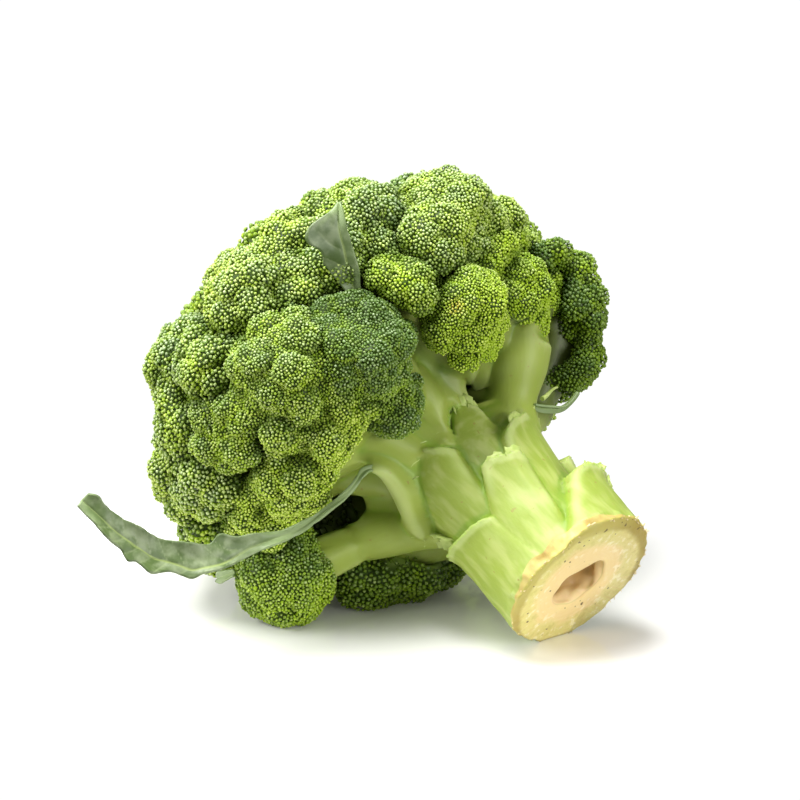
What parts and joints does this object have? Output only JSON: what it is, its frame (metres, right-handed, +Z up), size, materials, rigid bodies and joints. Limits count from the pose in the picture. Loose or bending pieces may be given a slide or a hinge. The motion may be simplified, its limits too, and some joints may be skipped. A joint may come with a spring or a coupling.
{
  "type": "broccoli head",
  "caption": "Cut broccoli head lying on its side: thick pale stalk with leaf stubs, forked branches, tight domed green florets and loose leaves.",
  "frame": {"origin": "middle of the bounding box in plan, at the level of the floor it lies on", "axes": "+Z up; +X to the right along the longest extent, from the tip of the long leaf to the cut end of the stalk; +Y away, towards the back of the crown"},
  "size_m": [0.1696, 0.1568, 0.1345],
  "materials": {
    "floret_blue": "dull, waxy blue-green buds",
    "floret_green": "dull green buds",
    "floret_bright": "dull yellow-green buds",
    "stalk_green": "smooth, moist pale green skin",
    "leaf_green": "waxy grey-green blade"
  },
  "bodies": {
    "root": {"floret_bottom_left": "floret_blue", "floret_bottom_middle": "floret_blue", "floret_bright": "floret_bright", "floret_crown": "floret_blue", "floret_crown_left": "floret_green", "floret_crown_low": "floret_green", "floret_crown_rear": "floret_green", "floret_far_right": "floret_blue", "floret_floor": "floret_green", "floret_floor_rear": "floret_green", "floret_front_dark": "floret_blue", "floret_left_front": "floret_green", "floret_left_front_low": "floret_green", "floret_left_low": "floret_blue", "floret_left_low_rear": "floret_blue", "floret_left_middle": "floret_blue", "floret_rear": "floret_green", "floret_rear_right": "floret_blue", "floret_rear_upper": "floret_green", "floret_right_middle": "floret_bright", "floret_right_small": "floret_green", "floret_small_middle": "floret_green", "floret_top_left": "floret_blue", "floret_top_middle": "floret_blue", "floret_top_right": "floret_green", "floret_upper_left": "floret_green", "leaf_long": "leaf_green", "leaf_low": "leaf_green", "leaf_right": "leaf_green", "leaf_upright": "leaf_green", "stalk": "stalk_green"}
  },
  "joints": []
}
